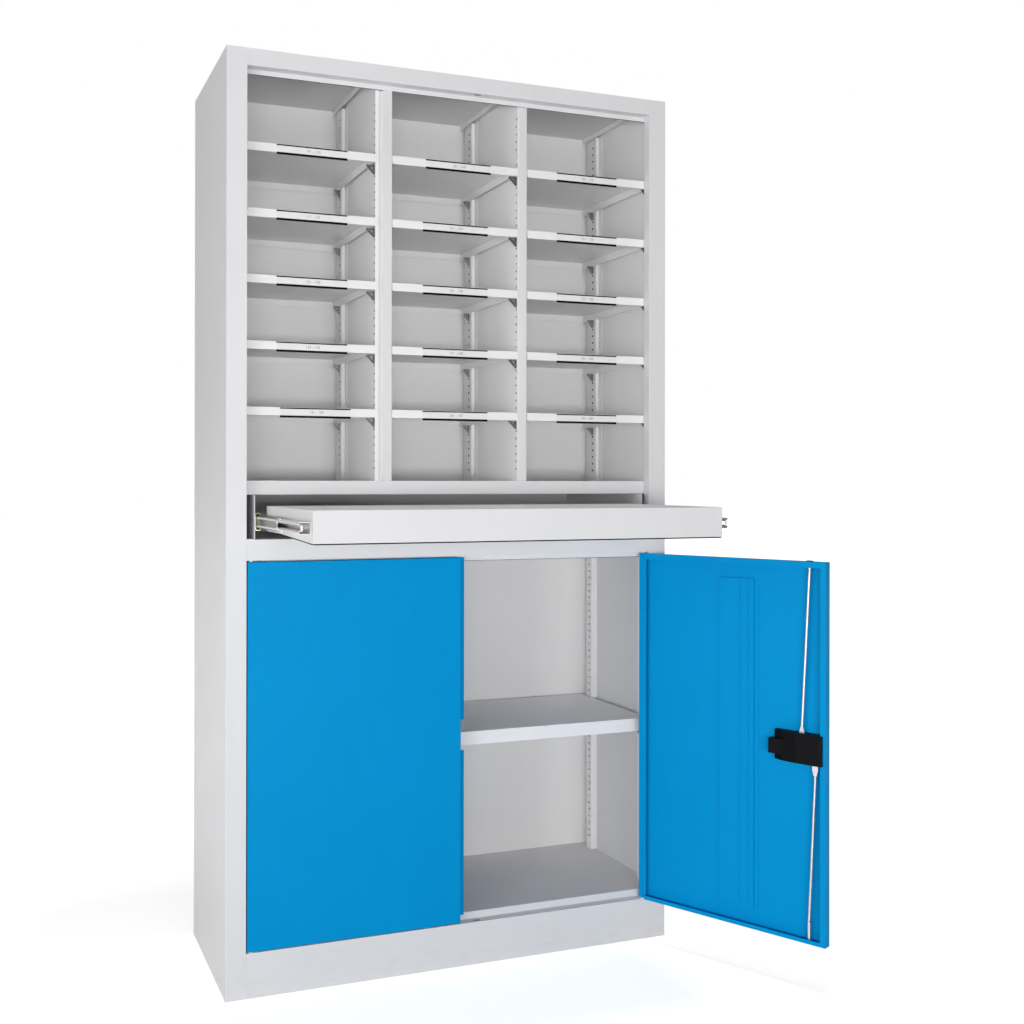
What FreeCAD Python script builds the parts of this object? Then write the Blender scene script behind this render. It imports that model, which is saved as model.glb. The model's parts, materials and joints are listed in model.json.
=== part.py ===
import FreeCAD
import Part
import math
import os

# Pigeonhole mail sorter: tall steel cabinet with fifteen shelves in three bays,
# a pull-out worktop on telescopic slides and a two-door cupboard below.
# Millimetres. Origin on the floor at the centre of the carcass footprint,
# +X to the right, +Y to the back, +Z up. The front face is at y = -DEPTH / 2.

# carcass
WIDTH = 1026.0
DEPTH = 400.0
HEIGHT = 1950.0
SHEET = 1.0
POST = 42.5
POST_RETURN = 24.0
REAR_FLANGE = 20.0
TOP_RAIL = 35.7
SEAM_WIDTH = 0.6
SEAM_DEPTH = 0.5

# levels, from the floor up
PLINTH_TOP = 93.0
FLOOR_TOP = 108.3
LOWER_SHELF_TOP = 503.0
LOWER_SHELF_FLANGE = 30.0
HEADER_BOTTOM = 898.0
STOP_DROP = 12.0
MID_DECK_TOP = 941.0
SORTER_DECK_BOTTOM = 1033.0
SORTER_DECK_TOP = 1062.0
TOP_SHELF_LEVEL = 1765.7
SHELF_PITCH = 137.5
SHELF_ROWS = 5
INNER_RAIL_BOTTOM = 1904.5

# dividers and perforated walls of the three bays
LEFT_POST_X = -161.0
RIGHT_POST_X = 159.0
DIVIDER_POST = 20.0
WALL_SETBACK = 2.4
WALL_FLANGE = 7.0
LEFT_RECESS = 10.0
OUTER_WALL_X = 489.5
BAY_BACK = 157.0
FILLER_SETBACK = 5.0
HOLE_PITCH = SHELF_PITCH / 8.0
HOLE_RADIUS = 2.5
SLOT_LENGTH = 8.5
HOLE_SETBACKS = {"left": 28.5, "middle": 9.3, "right": 9.3}
DEEP_HOLE_SETBACK = 100.0
UPRIGHT_STANDOFF = 9.0
CUPBOARD_STANDOFF = 16.0

# pigeonhole shelves, label holders and clips
SHELF_FLANGE = 17.5
SHELF_SIDE_GAP = 10.0
SHELF_FRONT_Y = -175.0
SHELF_BACK_Y = 155.0
HOLDER_WIDTH = 153.0
HOLDER_HEIGHT = 19.7
HOLDER_DROP = 0.7
HOLDER_TOP_LIP = 2.5
HOLDER_LOW_LIP = 3.3
HOLDER_SHIFT = {"left": -1.8, "middle": -2.6, "right": 0.0}
HOLDER_NUDGE = {("left", 5): 8.0, ("middle", 1): 7.0}
CLIP_REACH = 18.0
CLIP_DROP = 19.0
CLIP_WIDTH = 10.0
CLIP_STRIP = 2.0
HOOK_DROP = 6.0

# doors
DOOR_BOTTOM = 95.0
DOOR_TOP = 894.4
DOOR_PAN = 20.0
PIVOT_INSET = 11.0
PIVOT_SETBACK = 6.0
HINGE_EDGE = -8.5
LEFT_FREE_EDGE = 460.8
RIGHT_FREE_EDGE = 454.9
HINGE_LIP = 20.0
HINGE_DEPTH = 11.5
FREE_LIP = 12.0
TOP_LIP = 13.0
LOW_LIP = 9.0
OPEN_ANGLE = 116.8
STIFFENER_START = 198.6
STIFFENER_WIDTH = 84.4
STIFFENER_BOTTOM = 138.0
STIFFENER_TOP = 850.0
STIFFENER_RISE = 4.5
RIB_REACHES = (249.0, 269.3)
PIN_RADIUS = 3.0
PIN_CLEARANCE = 0.35
STRIP_OVERLAP = 15.3
STRIP_NOTCH = 9.3
STRIP_NOTCH_HEIGHT = 68.0

# espagnolette lock in the right door, measured along the door from its pivot
LOCK_REACH = 414.0
LOCK_LEVEL = 502.0
CAM_THROW = 15.0
ROD_RADIUS = 3.0
ROD_TIP_RADIUS = 3.6
ROD_DEPTH = 6.0
ROD_REACH = 415.5
HOUSING_START = 337.0
HOUSING_END = 449.0
HOUSING_HEIGHT = 63.0
HOUSING_FACE = 22.0
TONGUE_START = 327.0
KNOB_RADIUS = 17.0
GRIP_REACH = 18.0

# pull-out worktop and its slides
WORKTOP_WIDTH = 852.0
WORKTOP_DEPTH = 384.0
WORKTOP_BOTTOM = 949.5
WORKTOP_TOP = 1009.5
WORKTOP_SIDE_BOTTOM = 957.5
WORKTOP_TAPER = 250.0
TRAVEL = 369.0
BRACKET_INSET = 18.0
SLIDE_SETBACK = 3.0
SLIDE_LENGTH = 370.0
INNER_SETBACK = 15.0
INNER_LENGTH = 361.0
SLIDE_HEIGHT = 37.0
SLIDE_LEVEL = 977.0
SLIDE_SHEET = 1.2

HALF = WIDTH / 2.0
FRONT = -DEPTH / 2.0
BACK = DEPTH / 2.0
MOUTH = HALF - POST
WALL_FRONT = FRONT + POST_RETURN + SHEET
WALL_BACK = BACK - 2.0 * SHEET
WALL_EDGE = WALL_FRONT + WALL_SETBACK
PIVOT_X = MOUTH - PIVOT_INSET
PIVOT_Y = FRONT + PIVOT_SETBACK
DOOR_FACE = -PIVOT_SETBACK
DOOR_INSIDE = DOOR_FACE + DOOR_PAN


def block(x0, x1, y0, y1, z0, z1):
    """Box between two corners, whichever way round they are given."""
    low = FreeCAD.Vector(min(x0, x1), min(y0, y1), min(z0, z1))
    return Part.makeBox(abs(x1 - x0), abs(y1 - y0), abs(z1 - z0), low)


def rod(x, y, z0, z1, radius):
    return Part.makeCylinder(radius, z1 - z0, FreeCAD.Vector(x, y, z0))


def joined(pieces):
    """One solid from pieces that touch or overlap."""
    if len(pieces) == 1:
        return pieces[0]
    return pieces[0].fuse(pieces[1:]).removeSplitter()


def group(shapes):
    return Part.makeCompound(shapes)


def flipped(shape):
    """Mirror image across the cabinet's middle plane."""
    return shape.mirror(FreeCAD.Vector(0, 0, 0), FreeCAD.Vector(1, 0, 0))


def save(name, shape):
    shape.exportStep("parts/" + name + ".step")
    print(name, len(shape.Solids), "solid(s)", round(shape.Volume / 1000.0, 1), "cm3")


def hole_levels(low, high):
    """Heights of the perforations between two levels, in step with the shelves."""
    first = TOP_SHELF_LEVEL - SHELF_FLANGE - HOOK_DROP
    below = math.floor((first - low) / HOLE_PITCH)
    levels = []
    z = first - below * HOLE_PITCH
    while z < high:
        levels.append(z)
        z += HOLE_PITCH
    return levels


def seat_levels():
    """Heights at which a shelf clip hooks into its wall, one below each shelf."""
    first = TOP_SHELF_LEVEL - SHELF_FLANGE - HOOK_DROP
    return [first - row * SHELF_PITCH for row in range(SHELF_ROWS)]


def slot(x, y, z):
    """Punch for one round-ended slot lying along Y, driven along X through a sheet at x."""
    r = HOLE_RADIUS
    straight = SLOT_LENGTH / 2.0 - r
    x0 = x - 4.0
    corners = [FreeCAD.Vector(x0, y + side * straight, z + end * r)
               for side, end in ((-1, -1), (1, -1), (1, 1), (-1, 1))]
    tips = [FreeCAD.Vector(x0, y + side * (straight + r), z) for side in (-1, 1)]
    edges = [
        Part.LineSegment(corners[0], corners[1]).toShape(),
        Part.Arc(corners[1], tips[1], corners[2]).toShape(),
        Part.LineSegment(corners[2], corners[3]).toShape(),
        Part.Arc(corners[3], tips[0], corners[0]).toShape(),
    ]
    return Part.Face(Part.Wire(edges)).extrude(FreeCAD.Vector(8.0, 0, 0))


def perforated(shape, x, y, levels):
    """Cut a column of slots out of a sheet at x."""
    return shape.cut(group([slot(x, y, z) for z in levels]))


# carcass ---------------------------------------------------------------------

def side_panel():
    """Left side: skin, front post with its return, rear flange and floor flange."""
    shape = joined([
        block(-HALF, -HALF + SHEET, FRONT, BACK, 0, HEIGHT),
        block(-HALF, -MOUTH, FRONT, FRONT + SHEET, 0, HEIGHT),
        block(-MOUTH - SHEET, -MOUTH, FRONT, FRONT + POST_RETURN, 0, HEIGHT - SHEET),
        block(-HALF, -HALF + REAR_FLANGE, BACK - SHEET, BACK, 0, HEIGHT),
        block(-HALF, -HALF + REAR_FLANGE, FRONT + POST_RETURN, BACK, 0, SHEET),
    ])
    half = SEAM_WIDTH / 2.0
    seams = [block(-HALF - 1.0, -MOUTH + 1.0, FRONT - 1.0, FRONT + SEAM_DEPTH, z - half, z + half)
             for z in (HEADER_BOTTOM, MID_DECK_TOP)]
    return shape.cut(group(seams))


def rod_keeper(z, below=4.0):
    """Slot for a lock rod, cut through the sheet at height z."""
    x = PIVOT_X - ROD_REACH
    y = PIVOT_Y + ROD_DEPTH
    return block(x - 7.5, x + 7.5, y - 5.5, y + 4.5, z - below, z + below)


def bush_hole(x, z):
    return rod(x, PIVOT_Y, z - 4.0, z + 4.0, PIN_RADIUS + PIN_CLEARANCE + 1.5)


def top_panel():
    shape = joined([
        block(-HALF + SHEET, HALF - SHEET, FRONT + SHEET, BACK - SHEET, HEIGHT - SHEET, HEIGHT),
        block(-MOUTH, MOUTH, FRONT, FRONT + SHEET, HEIGHT - TOP_RAIL, HEIGHT),
        block(-MOUTH, MOUTH, FRONT, FRONT + POST_RETURN, HEIGHT - TOP_RAIL, HEIGHT - TOP_RAIL + SHEET),
        block(-HALF + REAR_FLANGE, HALF - REAR_FLANGE, BACK - 2 * SHEET, BACK,
              HEIGHT - SHEET, HEIGHT),
        block(-HALF + REAR_FLANGE, HALF - REAR_FLANGE, BACK - SHEET, BACK,
              HEIGHT - REAR_FLANGE, HEIGHT),
    ])
    return shape.cut(rod_keeper(HEIGHT - TOP_RAIL))


def back_panel():
    x = HALF - SHEET
    return block(-x, x, WALL_BACK, BACK - SHEET, SHEET, HEIGHT - SHEET)


def plinth():
    shape = joined([
        block(-MOUTH, MOUTH, FRONT, FRONT + SHEET, 0, PLINTH_TOP),
        block(-MOUTH, MOUTH, FRONT, FRONT + 24.0, PLINTH_TOP - SHEET, PLINTH_TOP),
        block(-MOUTH, MOUTH, FRONT, FRONT + 24.0, 0, SHEET),
    ])
    shape = shape.cut(rod_keeper(PLINTH_TOP))
    for x in (-PIVOT_X, PIVOT_X):
        shape = shape.cut(bush_hole(x, PLINTH_TOP))
    return shape


def cabinet_floor():
    wide = HALF - SHEET
    y = FRONT + 24.0
    return joined([
        block(-MOUTH, MOUTH, y, WALL_BACK, FLOOR_TOP - SHEET, FLOOR_TOP),
        block(-wide, wide, WALL_FRONT, WALL_BACK, FLOOR_TOP - SHEET, FLOOR_TOP),
        block(-MOUTH, MOUTH, y, y + SHEET, 80.0, FLOOR_TOP),
        block(-wide, wide, WALL_BACK - SHEET, WALL_BACK, 90.0, FLOOR_TOP),
    ])


def door_header_rail():
    """Rail between worktop and doors, with the lip that the closed doors rest against."""
    y = FRONT + 24.0
    shape = joined([
        block(-MOUTH, MOUTH, FRONT, FRONT + SHEET, HEADER_BOTTOM, MID_DECK_TOP),
        block(-MOUTH, MOUTH, FRONT, y, HEADER_BOTTOM, HEADER_BOTTOM + SHEET),
        block(-MOUTH, MOUTH, y, y + SHEET, HEADER_BOTTOM - STOP_DROP, HEADER_BOTTOM + SHEET),
        block(-MOUTH, MOUTH, FRONT, FRONT + POST_RETURN, MID_DECK_TOP - SHEET, MID_DECK_TOP),
    ])
    shape = shape.cut(rod_keeper(HEADER_BOTTOM))
    for x in (-PIVOT_X, PIVOT_X):
        shape = shape.cut(bush_hole(x, HEADER_BOTTOM))
    return shape


def mid_deck():
    wide = HALF - SHEET
    y = FRONT + POST_RETURN
    return joined([
        block(-MOUTH, MOUTH, y, WALL_BACK, MID_DECK_TOP - SHEET, MID_DECK_TOP),
        block(-wide, wide, WALL_FRONT, WALL_BACK, MID_DECK_TOP - SHEET, MID_DECK_TOP),
        block(-MOUTH, MOUTH, y, y + SHEET, MID_DECK_TOP - 16.0, MID_DECK_TOP),
        block(-wide, wide, WALL_BACK - SHEET, WALL_BACK, MID_DECK_TOP - 20.0, MID_DECK_TOP),
    ])


def sorter_deck():
    """Base of the pigeonholes, a tray with downturned edges."""
    y = SHELF_FRONT_Y
    wide = OUTER_WALL_X + SHEET
    return joined([
        block(-wide, wide, y, WALL_BACK, SORTER_DECK_TOP - SHEET, SORTER_DECK_TOP),
        block(-wide, wide, y, y + SHEET, SORTER_DECK_BOTTOM, SORTER_DECK_TOP),
        block(-wide, wide, y, y + 12.0, SORTER_DECK_BOTTOM, SORTER_DECK_BOTTOM + SHEET),
        block(-wide, wide, WALL_BACK - SHEET, WALL_BACK, SORTER_DECK_TOP - 20.0, SORTER_DECK_TOP),
    ])


def top_inner_rail():
    y = WALL_FRONT
    wide = OUTER_WALL_X + SHEET
    return joined([
        block(-wide, wide, y, y + SHEET, INNER_RAIL_BOTTOM, HEIGHT - SHEET),
        block(-wide, wide, y, y + 2.2 * SHEET, INNER_RAIL_BOTTOM, INNER_RAIL_BOTTOM + 3.0),
    ])


# bays --------------------------------------------------------------------------

def bay_back_panel():
    """Back sheet shared by the three bays, standing on their deck."""
    wide = OUTER_WALL_X + SHEET
    return block(-wide, wide, BAY_BACK, BAY_BACK + SHEET, SORTER_DECK_TOP, HEIGHT - SHEET)


def divider_post(x, filler):
    """Channel that covers the front edges of two bay walls.

    The filler is a flange that closes the gap between the post and the wall on its left.
    """
    y = WALL_FRONT
    half = DIVIDER_POST / 2.0
    z0 = SORTER_DECK_TOP
    z1 = INNER_RAIL_BOTTOM
    pieces = [
        block(x - half, x + half, y, y + SHEET, z0, z1),
        block(x - half, x - half + SHEET, y, y + 25.0, z0, z1),
        block(x + half - SHEET, x + half, y, y + 25.0, z0, z1),
    ]
    if filler:
        y += FILLER_SETBACK
        pieces.append(block(x - half - LEFT_RECESS + SHEET, x - half, y, y + SHEET, z0, z1))
    return joined(pieces)


def bay_wall(x, outward, flange, levels, hole_y):
    """Wall with its inner face at x and slots at the given levels in a column at hole_y.

    Its front flange turns by the given width into the bay (negative) or away from
    it; a wall without one stands against the side of a divider post.
    """
    z0 = SORTER_DECK_TOP
    z1 = HEIGHT - SHEET
    pieces = [block(x, x + outward * SHEET, WALL_EDGE, BAY_BACK, z0, z1)]
    if flange:
        pieces.append(block(x, x + outward * flange, WALL_EDGE, WALL_EDGE + SHEET, z0, z1))
    return perforated(joined(pieces), x, hole_y, levels)


def rear_upright(x, inward):
    """Perforated hat-shaped strip on a bay wall; x is the wall's inner face."""
    face = x + inward * UPRIGHT_STANDOFF
    z0 = SORTER_DECK_TOP
    z1 = HEIGHT - SHEET - 12.0
    web = block(face, face - inward * SHEET, 85.0, 130.0, z0, z1)
    web = perforated(web, face, 103.0, hole_levels(z0 + 12.0, z1 - 8.0))
    return joined([
        web,
        block(x, face, 85.0, 85.0 + SHEET, z0, z1),
        block(x, face, 130.0 - SHEET, 130.0, z0, z1),
        block(x, x + inward * SHEET, 68.0, 85.0 + SHEET, z0, z1),
    ])


def ceiling_rail(x, inward):
    """Angle strip along the top of a bay wall."""
    z1 = HEIGHT - SHEET
    y0 = WALL_FRONT + 8.0
    y1 = BAY_BACK
    return joined([
        block(x, x + inward * 12.0, y0, y1, z1 - SHEET, z1),
        block(x + inward * 11.0, x + inward * 12.0, y0, y1, z1 - 12.0, z1),
    ])


def bays():
    """Inner wall faces and shelf-front ends of the three bays, left to right."""
    post = DIVIDER_POST / 2.0
    left = LEFT_POST_X - post - LEFT_RECESS
    return {
        "left": (-OUTER_WALL_X, left, -MOUTH + 0.5, left - 0.8),
        "middle": (LEFT_POST_X + post + SHEET, RIGHT_POST_X - post - SHEET,
                   LEFT_POST_X + post + 1.2, RIGHT_POST_X - post - 1.3),
        "right": (RIGHT_POST_X + post + SHEET, OUTER_WALL_X,
                  RIGHT_POST_X + post + 1.5, MOUTH - 0.5),
    }


def shelf(x0, x1, f0, f1, top):
    """Tray: body between the uprights, wider front flange in front of the walls."""
    a = x0 + SHELF_SIDE_GAP
    b = x1 - SHELF_SIDE_GAP
    low = top - SHELF_FLANGE
    y0 = SHELF_FRONT_Y
    y1 = SHELF_BACK_Y
    return joined([
        block(a, b, y0, y1, top - SHEET, top),
        block(f0, f1, y0, y0 + SHEET, low, top),
        block(a, b, y0, y0 + 8.0, low, low + SHEET),
        block(a, a + SHEET, y0, y1, low, top),
        block(b - SHEET, b, y0, y1, low, top),
        block(a, b, y1 - SHEET, y1, low + 1.0, top),
    ])


def label_holder(x, top):
    """Channel on the shelf's front flange: backing strip with an upper and a lower lip."""
    a = x - HOLDER_WIDTH / 2.0
    b = x + HOLDER_WIDTH / 2.0
    z1 = top - HOLDER_DROP
    z0 = z1 - HOLDER_HEIGHT
    y = SHELF_FRONT_Y
    return joined([
        block(a, b, y - 0.6, y, z0, z1),
        block(a, b, y - 1.8, y, z1 - HOLDER_TOP_LIP, z1),
        block(a, b, y - 1.8, y, z0, z0 + HOLDER_LOW_LIP),
    ])


def label_card(x, top):
    half = HOLDER_WIDTH / 2.0 - 0.3
    z1 = top - HOLDER_DROP - HOLDER_TOP_LIP
    z0 = top - HOLDER_DROP - HOLDER_HEIGHT + HOLDER_LOW_LIP
    y = SHELF_FRONT_Y - 0.6
    return block(x - half, x + half, y - 0.5, y, z0, z1)


def prism(points, y, width):
    """Outline in the XZ plane, extruded by width about the plane y."""
    ring = [FreeCAD.Vector(px, y - width / 2.0, pz) for px, pz in points]
    face = Part.Face(Part.makePolygon(ring + ring[:1]))
    return face.extrude(FreeCAD.Vector(0, width, 0))


def shelf_clip(x, inward, y, top, reach=CLIP_REACH):
    """Triangular bracket bent from strip, hooked into a wall hole below a shelf edge."""
    t = CLIP_STRIP
    drop = CLIP_DROP
    outer = prism([(x, top), (x + inward * reach, top), (x, top - drop)], y, CLIP_WIDTH)
    a = x + inward * t
    b = x + inward * (reach - t * 3.0)
    hollow = prism([(a, top - t), (b, top - t), (a, top - drop + t * 2.6)], y, CLIP_WIDTH + 2.0)
    hook = block(x, x - inward * 5.0, y - 1.3, y + 1.3, top - HOOK_DROP - 1.3, top - HOOK_DROP + 1.3)
    return joined([outer.cut(hollow), hook])


def lower_upright(x, inward, y0, y1):
    """Perforated channel on a side panel, inside the cupboard."""
    z0 = FLOOR_TOP
    z1 = MID_DECK_TOP - 20.0
    face = x + inward * CUPBOARD_STANDOFF
    holes = []
    web = block(face, face - inward * SHEET, y0, y1, z0, z1)
    z = LOWER_SHELF_TOP - LOWER_SHELF_FLANGE - HOOK_DROP - 19 * HOLE_PITCH
    while z < z1 - 12.0:
        holes.append(slot(face, (y0 + y1) / 2.0, z))
        z += HOLE_PITCH
    return joined([
        web.cut(group(holes)),
        block(x, face, y0, y0 + SHEET, z0, z1),
        block(x, face, y1 - SHEET, y1, z0, z1),
    ])


def lower_shelf():
    a = HALF - SHEET - CUPBOARD_STANDOFF - 3.0
    low = LOWER_SHELF_TOP - LOWER_SHELF_FLANGE
    y0 = FRONT + 42.0
    y1 = 186.0
    top = LOWER_SHELF_TOP
    return joined([
        block(-a, a, y0, y1, top - SHEET, top),
        block(-a, a, y0, y0 + SHEET, low, top),
        block(-a, a, y0, y0 + 12.0, low, low + SHEET),
        block(-a, -a + SHEET, y0, y1, low, top),
        block(a - SHEET, a, y0, y1, low, top),
        block(-a, a, y1 - SHEET, y1, low, top),
    ])


# doors, drawn closed with the pivot at the origin and the door running along -X ---

def door_pan(free_edge, rod_slots):
    """Skin with folded edges, shallower along the hinge side, and lips round the inside."""
    h = -HINGE_EDGE
    f = -free_edge
    y0 = DOOR_FACE
    y1 = DOOR_INSIDE
    y2 = DOOR_FACE + HINGE_DEPTH
    z0 = DOOR_BOTTOM
    z1 = DOOR_TOP
    step = h - HINGE_LIP
    shape = joined([
        block(f, h, y0, y0 + SHEET, z0, z1),
        block(h - SHEET, h, y0, y2, z0, z1),
        block(f, f + SHEET, y0, y1, z0, z1),
        block(f, h, y0, y2, z0, z0 + SHEET),
        block(f, h, y0, y2, z1 - SHEET, z1),
        block(f, step, y0, y1, z0, z0 + SHEET),
        block(f, step, y0, y1, z1 - SHEET, z1),
        block(step, h, y2 - SHEET, y2, z0, z1),
        block(f, f + FREE_LIP, y1 - SHEET, y1, z0, z1),
        block(f, step, y1 - SHEET, y1, z0, z0 + LOW_LIP),
        block(f, step, y1 - SHEET, y1, z1 - TOP_LIP, z1),
        block(step - SHEET, step, y2 - SHEET, y1, z0, z0 + LOW_LIP),
        block(step - SHEET, step, y2 - SHEET, y1, z1 - TOP_LIP, z1),
    ])
    cuts = [rod(0, 0, z0 - 2.0, z0 + 3.0, PIN_RADIUS), rod(0, 0, z1 - 3.0, z1 + 2.0, PIN_RADIUS)]
    if rod_slots:
        for z in (z0, z1):
            x = -ROD_REACH
            cuts.append(block(x - 7.0, x + 7.0, ROD_DEPTH - 4.5, ROD_DEPTH + 4.5, z - 2.0, z + 2.0))
        spindle = FreeCAD.Vector(-LOCK_REACH, DOOR_FACE - 2.0, LOCK_LEVEL)
        cuts.append(Part.makeCylinder(8.0, 5.0, spindle, FreeCAD.Vector(0, 1, 0)))
    return shape.cut(group(cuts))


def door_stiffener():
    """Hat section on the inner face of the skin, with two raised ribs."""
    x0 = -STIFFENER_START - STIFFENER_WIDTH
    x1 = -STIFFENER_START
    y0 = DOOR_FACE + SHEET
    y1 = y0 + STIFFENER_RISE
    z0 = STIFFENER_BOTTOM
    z1 = STIFFENER_TOP
    pieces = [
        block(x0, x1, y1 - SHEET, y1, z0, z1),
        block(x0, x0 + SHEET, y0, y1, z0, z1),
        block(x1 - SHEET, x1, y0, y1, z0, z1),
        block(x0 - 10.0, x0 + SHEET, y0, y0 + SHEET, z0, z1),
        block(x1 - SHEET, x1 + 10.0, y0, y0 + SHEET, z0, z1),
    ]
    for reach in RIB_REACHES:
        pieces.append(block(-reach - 1.5, -reach + 1.5, y1 - SHEET, y1 + 1.2, z0 + 4.0, z1 - 4.0))
    return joined(pieces)


def door_pins():
    """Top and bottom hinge pin, each with a washer inside the pan."""
    pins = []
    for z0, z1, w in ((DOOR_BOTTOM - 12.0, DOOR_BOTTOM + 14.0, DOOR_BOTTOM + SHEET),
                      (DOOR_TOP - 14.0, DOOR_TOP + 13.0, DOOR_TOP - SHEET - 2.0)):
        pins.append(joined([rod(0, 0, z0, z1, PIN_RADIUS), rod(0, 0, w, w + 2.0, 4.4)]))
    return group(pins)


def edge_strip():
    """Overlap strip along the free edge of the left door, notched beside the lock."""
    edge = -LEFT_FREE_EDGE
    end = edge - STRIP_OVERLAP
    y = DOOR_INSIDE
    z0 = DOOR_BOTTOM + 10.0
    z1 = DOOR_TOP - 1.0
    half = STRIP_NOTCH_HEIGHT / 2.0
    strip = joined([
        block(edge, edge + FREE_LIP - 2.0, y, y + 1.6, z0, z1),
        block(end, edge + 1.0, y + 0.6, y + 2.2, z0, z1),
    ])
    return strip.cut(block(end - 1.0, end + STRIP_NOTCH, y, y + 3.0, LOCK_LEVEL - half, LOCK_LEVEL + half))


def lock_housing():
    """Plastic cover over the lock, with mouths for both rods and a latch tongue."""
    x0 = -HOUSING_END
    x1 = -HOUSING_START
    y0 = DOOR_FACE + SHEET
    y1 = HOUSING_FACE
    z0 = LOCK_LEVEL - HOUSING_HEIGHT / 2.0
    z1 = LOCK_LEVEL + HOUSING_HEIGHT / 2.0
    outline = [(x0, y0), (x1, y0), (x1, y1 - 14.0), (x1 - 24.0, y1 - 5.0), (x1 - 55.0, y1 - 1.0),
               (x1 - 70.0, y1), (x0 + 3.0, y1), (x0, y1 - 2.0)]
    ring = [FreeCAD.Vector(px, py, z0) for px, py in outline]
    solid = Part.Face(Part.makePolygon(ring + ring[:1])).extrude(FreeCAD.Vector(0, 0, z1 - z0))
    hollow = block(x0 + 2.0, x1 - 50.0, y0 - 1.0, y1 - 4.0, z0 + 2.0, z1 - 2.0)
    shallow = block(x1 - 51.0, x1 - 26.0, y0 - 1.0, y1 - 8.0, z0 + 2.0, z1 - 2.0)
    lip = -RIGHT_FREE_EDGE + FREE_LIP + 0.3
    over_lip = block(x0 - 1.0, lip, y0 - 1.0, DOOR_INSIDE, z0 - 1.0, z1 + 1.0)
    tongue = block(x1 - 24.0, -TONGUE_START, y0, y1 - 5.0, LOCK_LEVEL - 19.0, LOCK_LEVEL + 13.5)
    upper = -LOCK_REACH + CAM_THROW
    lower = -LOCK_REACH - CAM_THROW
    mouth_top = block(upper - 9.0, upper + 9.0, 0.0, 12.0, z1 - 5.0, z1 + 2.0)
    mouth_low = block(lower - 9.0, lower + 9.0, 0.0, 12.0, z0 - 2.0, z0 + 5.0)
    return joined([solid, tongue]).cut(group([hollow, shallow, over_lip, mouth_top, mouth_low]))


def lock_rosette():
    """Ring on the outer face round the knob's spindle."""
    out = FreeCAD.Vector(0, -1, 0)
    base = FreeCAD.Vector(-LOCK_REACH, DOOR_FACE, LOCK_LEVEL)
    disc = Part.makeCylinder(21.0, 3.0, base, out)
    bore = Part.makeCylinder(8.0, 5.0, base + FreeCAD.Vector(0, 1.0, 0), out)
    return disc.cut(bore)


def lock_knob():
    """Knob with a grip bar on the outer face and its spindle through the door."""
    out = FreeCAD.Vector(0, -1, 0)
    centre = FreeCAD.Vector(-LOCK_REACH, 0, LOCK_LEVEL)
    face = DOOR_FACE - 3.0 - 0.6
    boss = Part.makeCylinder(KNOB_RADIUS, 10.0, centre + FreeCAD.Vector(0, face, 0), out)
    wing = block(-LOCK_REACH - GRIP_REACH, -LOCK_REACH + GRIP_REACH, face - 4.0, face - 22.0,
                 LOCK_LEVEL - 6.0, LOCK_LEVEL + 6.0)
    ends = []
    for side in (-1.0, 1.0):
        at = FreeCAD.Vector(-LOCK_REACH + side * GRIP_REACH, face - 4.0, LOCK_LEVEL)
        ends.append(Part.makeCylinder(6.0, 18.0, at, out))
    spindle = Part.makeCylinder(6.5, 12.0, centre + FreeCAD.Vector(0, face + 11.5, 0), out)
    return joined([boss, wing, spindle] + ends)


def lock_cam():
    """Cam plate behind the door with one pin for each rod."""
    inward = FreeCAD.Vector(0, 1, 0)
    base = DOOR_FACE - 3.0 - 0.6 + 11.5
    plate = Part.makeCylinder(20.0, 2.0, FreeCAD.Vector(-LOCK_REACH, base - 3.5, LOCK_LEVEL), inward)
    bore = Part.makeCylinder(6.5, 4.0, FreeCAD.Vector(-LOCK_REACH, base - 4.5, LOCK_LEVEL), inward)
    pins = []
    for side in (-1.0, 1.0):
        at = FreeCAD.Vector(-LOCK_REACH + side * CAM_THROW, base - 2.5, LOCK_LEVEL)
        pins.append(Part.makeCylinder(2.5, 4.7, at, inward))
    return joined([plate.cut(bore)] + pins)


def lock_rod(up):
    """Lock rod with a flattened, cranked end at the cam; up is +1 or -1."""
    near = -LOCK_REACH + up * CAM_THROW
    far = -ROD_REACH
    y = ROD_DEPTH
    if up > 0:
        z_end = HEADER_BOTTOM - 0.6
        z_bend = z_end - 22.0
        z_near = LOCK_LEVEL + 42.0
        tip_radius = ROD_RADIUS
    else:
        z_end = PLINTH_TOP + 0.6
        z_bend = z_end + 48.0
        z_near = LOCK_LEVEL - 56.0
        tip_radius = ROD_TIP_RADIUS
    start = FreeCAD.Vector(near, y, z_near)
    bend = FreeCAD.Vector(far, y, z_bend)
    run = bend - start
    leaning = Part.makeCylinder(ROD_RADIUS, run.Length, start, run)
    tip = Part.makeCylinder(tip_radius, abs(z_end - z_bend), bend, FreeCAD.Vector(0, 0, up))
    elbow = Part.makeSphere(tip_radius, bend)
    knee = Part.makeSphere(ROD_RADIUS, start)
    z_flat = LOCK_LEVEL + up * 14.0
    z_wide = z_near - up * 14.0
    flat = block(near - 4.5, near + 4.5, y - 1.5, y + 1.5, z_flat, z_wide)
    flare = prism([(near - 4.5, z_wide), (near + 4.5, z_wide), (near + 2.5, z_near),
                   (near - 2.5, z_near)], y, 3.0)
    return joined([leaning, tip, elbow, knee, flat, flare])


def door_bush(z0, z1, z_flange):
    ring = rod(0, 0, z0, z1, PIN_RADIUS + PIN_CLEARANCE + 1.5)
    flange = rod(0, 0, z_flange, z_flange + 1.5, 5.8)
    bore = rod(0, 0, z0 - 5.0, z1 + 5.0, PIN_RADIUS + PIN_CLEARANCE)
    return joined([ring, flange]).cut(bore)


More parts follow.
